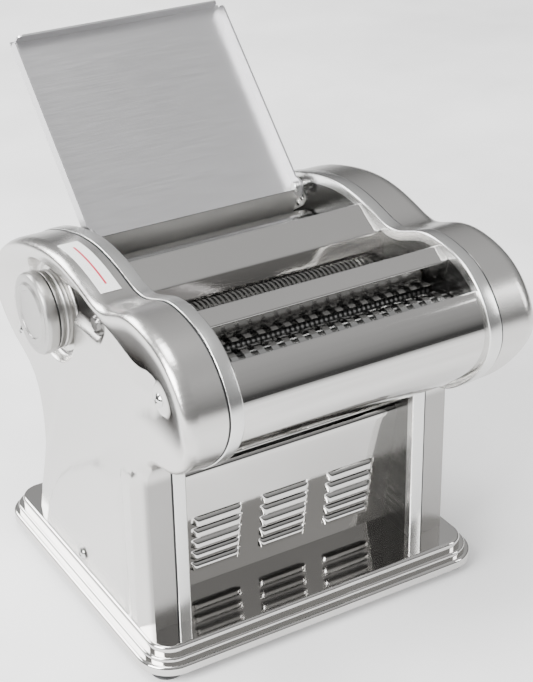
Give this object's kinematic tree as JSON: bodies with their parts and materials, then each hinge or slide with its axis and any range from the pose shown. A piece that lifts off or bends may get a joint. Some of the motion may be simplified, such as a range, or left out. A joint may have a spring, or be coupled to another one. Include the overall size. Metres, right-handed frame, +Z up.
{
  "type": "electric pasta machine",
  "caption": "Countertop electric pasta roller with adjustable dough rollers, two noodle cutter pairs, side covers, feed tray that folds down as a lid, and a louvred motor compartment.",
  "frame": {"origin": "on the counter under the middle of the whole machine's width and depth", "axes": "+Z up, +X along the rollers to the geared side, +Y to the rear where the feed tray leans back"},
  "size_m": [0.2256, 0.279, 0.3055],
  "materials": {
    "mirror_steel": "mirror polished stainless sheet",
    "brushed_cover": "satin pressed cover",
    "satin_band": "fine satin",
    "side_steel": "cold rolled sheet",
    "lid_steel": "satin sheet",
    "roller_steel": "ground and plated",
    "gear_steel": "oiled machined teeth",
    "black_rubber": "matt moulded",
    "bright_screw": "bright plated",
    "bronze": "sintered bronze",
    "knob_metal": "satin turned",
    "label_white": "matt film",
    "motor_casting": "bare casting",
    "black_plastic": "moulded",
    "comb_plastic": "food grade plastic"
  },
  "bodies": {
    "root": {"base_tray": "mirror_steel", "bottom_plate": "side_steel", "cover_posts": "side_steel", "cover_screws": "bright_screw", "cutter_combs": "comb_plastic", "foot_front_left": "black_rubber", "foot_front_right": "black_rubber", "foot_rear_left": "black_rubber", "foot_rear_right": "black_rubber", "foot_screws": "bright_screw", "front_panel": "mirror_steel", "gearbox": "motor_casting", "hopper_plate": "side_steel", "hopper_rivets": "bright_screw", "idler_studs": "side_steel", "label_plate": "label_white", "left_cover": "brushed_cover", "left_gasket": "black_rubber", "left_rim_band": "satin_band", "left_side_plate": "side_steel", "lid_pins": "bright_screw", "motor": "motor_casting", "motor_bracket": "side_steel", "power_inlet": "black_plastic", "rear_hood": "mirror_steel", "rear_panel": "mirror_steel", "right_cover": "brushed_cover", "right_gasket": "black_rubber", "right_rim_band": "satin_band", "right_side_plate": "side_steel", "roller_bushes": "bronze", "roller_cover_front": "mirror_steel", "roller_cover_middle": "mirror_steel", "roller_cover_rear": "mirror_steel", "sheet_scrapers": "side_steel", "switch_housing": "black_plastic", "tie_rods": "side_steel"},
    "front_roller": {"sheet_roller_front": "roller_steel", "sheet_gear_front": "gear_steel"},
    "rear_roller": {"sheet_roller_rear": "roller_steel", "sheet_gear_rear": "gear_steel"},
    "carriage": {"left_bearing_block": "side_steel", "right_bearing_block": "side_steel", "carriage_rod": "side_steel", "scroll_pin": "side_steel"},
    "adjuster": {"scroll_disc": "side_steel"},
    "knob": {"knob": "knob_metal"},
    "main_idler": {"main_idler_gear": "gear_steel"},
    "motor_shaft": {"motor_pinion": "gear_steel"},
    "cutter_idler": {"cutter_idler_gear": "gear_steel"},
    "narrow_front": {"narrow_cutter_front": "roller_steel", "narrow_gear_front": "gear_steel"},
    "narrow_rear": {"narrow_cutter_rear": "roller_steel", "narrow_gear_rear": "gear_steel"},
    "wide_rear": {"wide_cutter_rear": "roller_steel", "wide_gear_rear": "gear_steel"},
    "wide_front": {"wide_cutter_front": "roller_steel", "wide_gear_front": "gear_steel"},
    "lid": {"lid": "lid_steel"},
    "rocker": {"switch_rocker": "black_plastic"}
  },
  "joints": [
    {"name": "front_roller_spin", "type": "hinge", "parent": "root", "child": "front_roller", "pos_m": [0, -0.0035, 0.1765], "axis": [1, 0, 0], "continuous": true},
    {"name": "adjuster_turn", "type": "hinge", "parent": "root", "child": "adjuster", "pos_m": [0, 0.037, 0.1765], "axis": [1, 0, 0], "range_deg": [0, 240]},
    {"name": "carriage_slide", "type": "slide", "parent": "root", "child": "carriage", "axis": [0, 1, 0], "range_m": [0, 0.0026]},
    {"name": "rear_roller_spin", "type": "hinge", "parent": "carriage", "child": "rear_roller", "pos_m": [0, 0.037, 0.1765], "axis": [1, 0, 0], "continuous": true},
    {"name": "knob_pull", "type": "slide", "parent": "adjuster", "child": "knob", "axis": [-1, 0, 0], "range_m": [0, 0.004], "stiffness_N_per_m": 400, "springref_m": -0.003},
    {"name": "main_idler_spin", "type": "hinge", "parent": "root", "child": "main_idler", "pos_m": [0, 0.00372, 0.13208], "axis": [1, 0, 0], "continuous": true},
    {"name": "motor_shaft_spin", "type": "hinge", "parent": "root", "child": "motor_shaft", "pos_m": [0, 0.0125, 0.0905], "axis": [1, 0, 0], "continuous": true},
    {"name": "cutter_idler_spin", "type": "hinge", "parent": "root", "child": "cutter_idler", "pos_m": [0, -0.04704, 0.17013], "axis": [1, 0, 0], "continuous": true},
    {"name": "narrow_front_spin", "type": "hinge", "parent": "root", "child": "narrow_front", "pos_m": [0, -0.078, 0.1885], "axis": [1, 0, 0], "continuous": true},
    {"name": "narrow_rear_spin", "type": "hinge", "parent": "root", "child": "narrow_rear", "pos_m": [0, -0.057, 0.1885], "axis": [1, 0, 0], "continuous": true},
    {"name": "wide_rear_spin", "type": "hinge", "parent": "root", "child": "wide_rear", "pos_m": [0, -0.102, 0.1885], "axis": [1, 0, 0], "continuous": true},
    {"name": "wide_front_spin", "type": "hinge", "parent": "root", "child": "wide_front", "pos_m": [0, -0.123, 0.1885], "axis": [1, 0, 0], "continuous": true},
    {"name": "lid_hinge", "type": "hinge", "parent": "root", "child": "lid", "pos_m": [0, 0.0445, 0.2108], "axis": [1, 0, 0], "range_deg": [0, 122]},
    {"name": "switch_rock", "type": "hinge", "parent": "root", "child": "rocker", "pos_m": [-0.038, 0.0655, 0.0685], "axis": [1, 0, 0], "range_deg": [0, 16]}
  ],
  "couplings": [
    {"joint": "rear_roller_spin", "follows": "front_roller_spin", "ratio": -1},
    {"joint": "main_idler_spin", "follows": "front_roller_spin", "ratio": -0.8},
    {"joint": "motor_shaft_spin", "follows": "front_roller_spin", "ratio": 1.1429},
    {"joint": "cutter_idler_spin", "follows": "front_roller_spin", "ratio": -0.83333},
    {"joint": "narrow_front_spin", "follows": "front_roller_spin", "ratio": 1.6667},
    {"joint": "narrow_rear_spin", "follows": "front_roller_spin", "ratio": -1.6667},
    {"joint": "wide_rear_spin", "follows": "front_roller_spin", "ratio": -1.6667},
    {"joint": "wide_front_spin", "follows": "front_roller_spin", "ratio": 1.6667},
    {"joint": "adjuster_turn", "follows": "carriage_slide", "rad_per_m": 1611.1}
  ]
}
